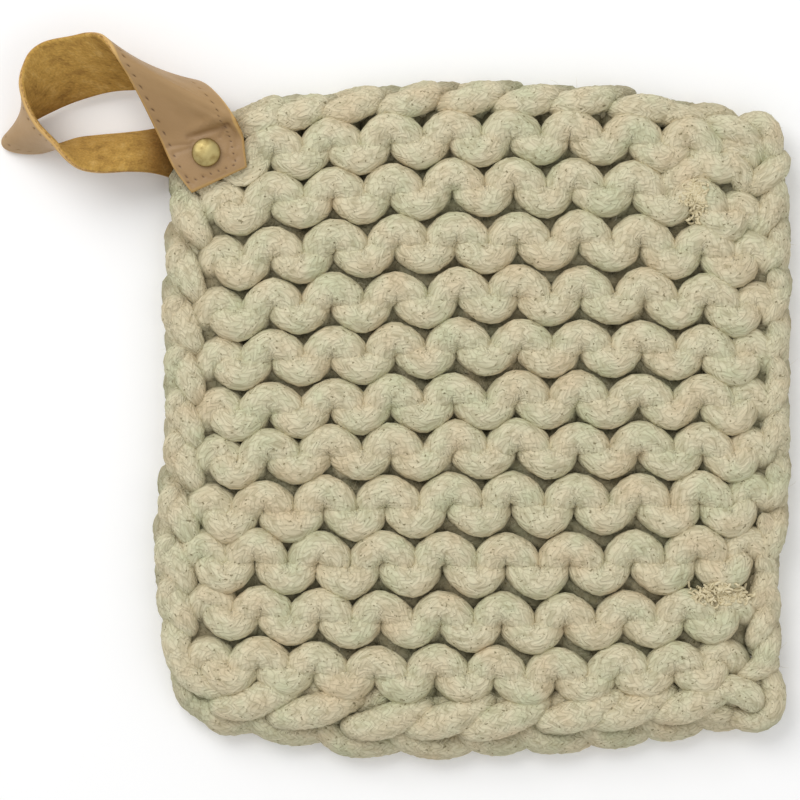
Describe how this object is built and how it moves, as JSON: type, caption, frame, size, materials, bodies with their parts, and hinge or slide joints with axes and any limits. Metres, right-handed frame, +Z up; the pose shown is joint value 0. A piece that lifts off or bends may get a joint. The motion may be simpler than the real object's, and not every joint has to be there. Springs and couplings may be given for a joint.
{
  "type": "pot holder",
  "caption": "Square garter-stitch cotton pot holder lying flat, with a leather hanging loop riveted to one corner.",
  "frame": {"origin": "middle of the whole object's footprint, on the surface that it lies on", "axes": "+Z up out of the front face, +Y towards the edge with the loop, +X along the rows of stitches, away from the loop"},
  "size_m": [0.2501, 0.2275, 0.0274],
  "materials": {
    "cotton_cord": "thick natural beige cotton cord, knitted, matt and slightly fuzzy",
    "tan_leather": "tan leather, smooth grain outside and suede inside, raw edges",
    "aged_brass": "pale aged brass, satin"
  },
  "bodies": {
    "root": {"knit": "cotton_cord", "strap": "tan_leather", "rivet_cap": "aged_brass", "rivet_post": "aged_brass"}
  },
  "joints": []
}
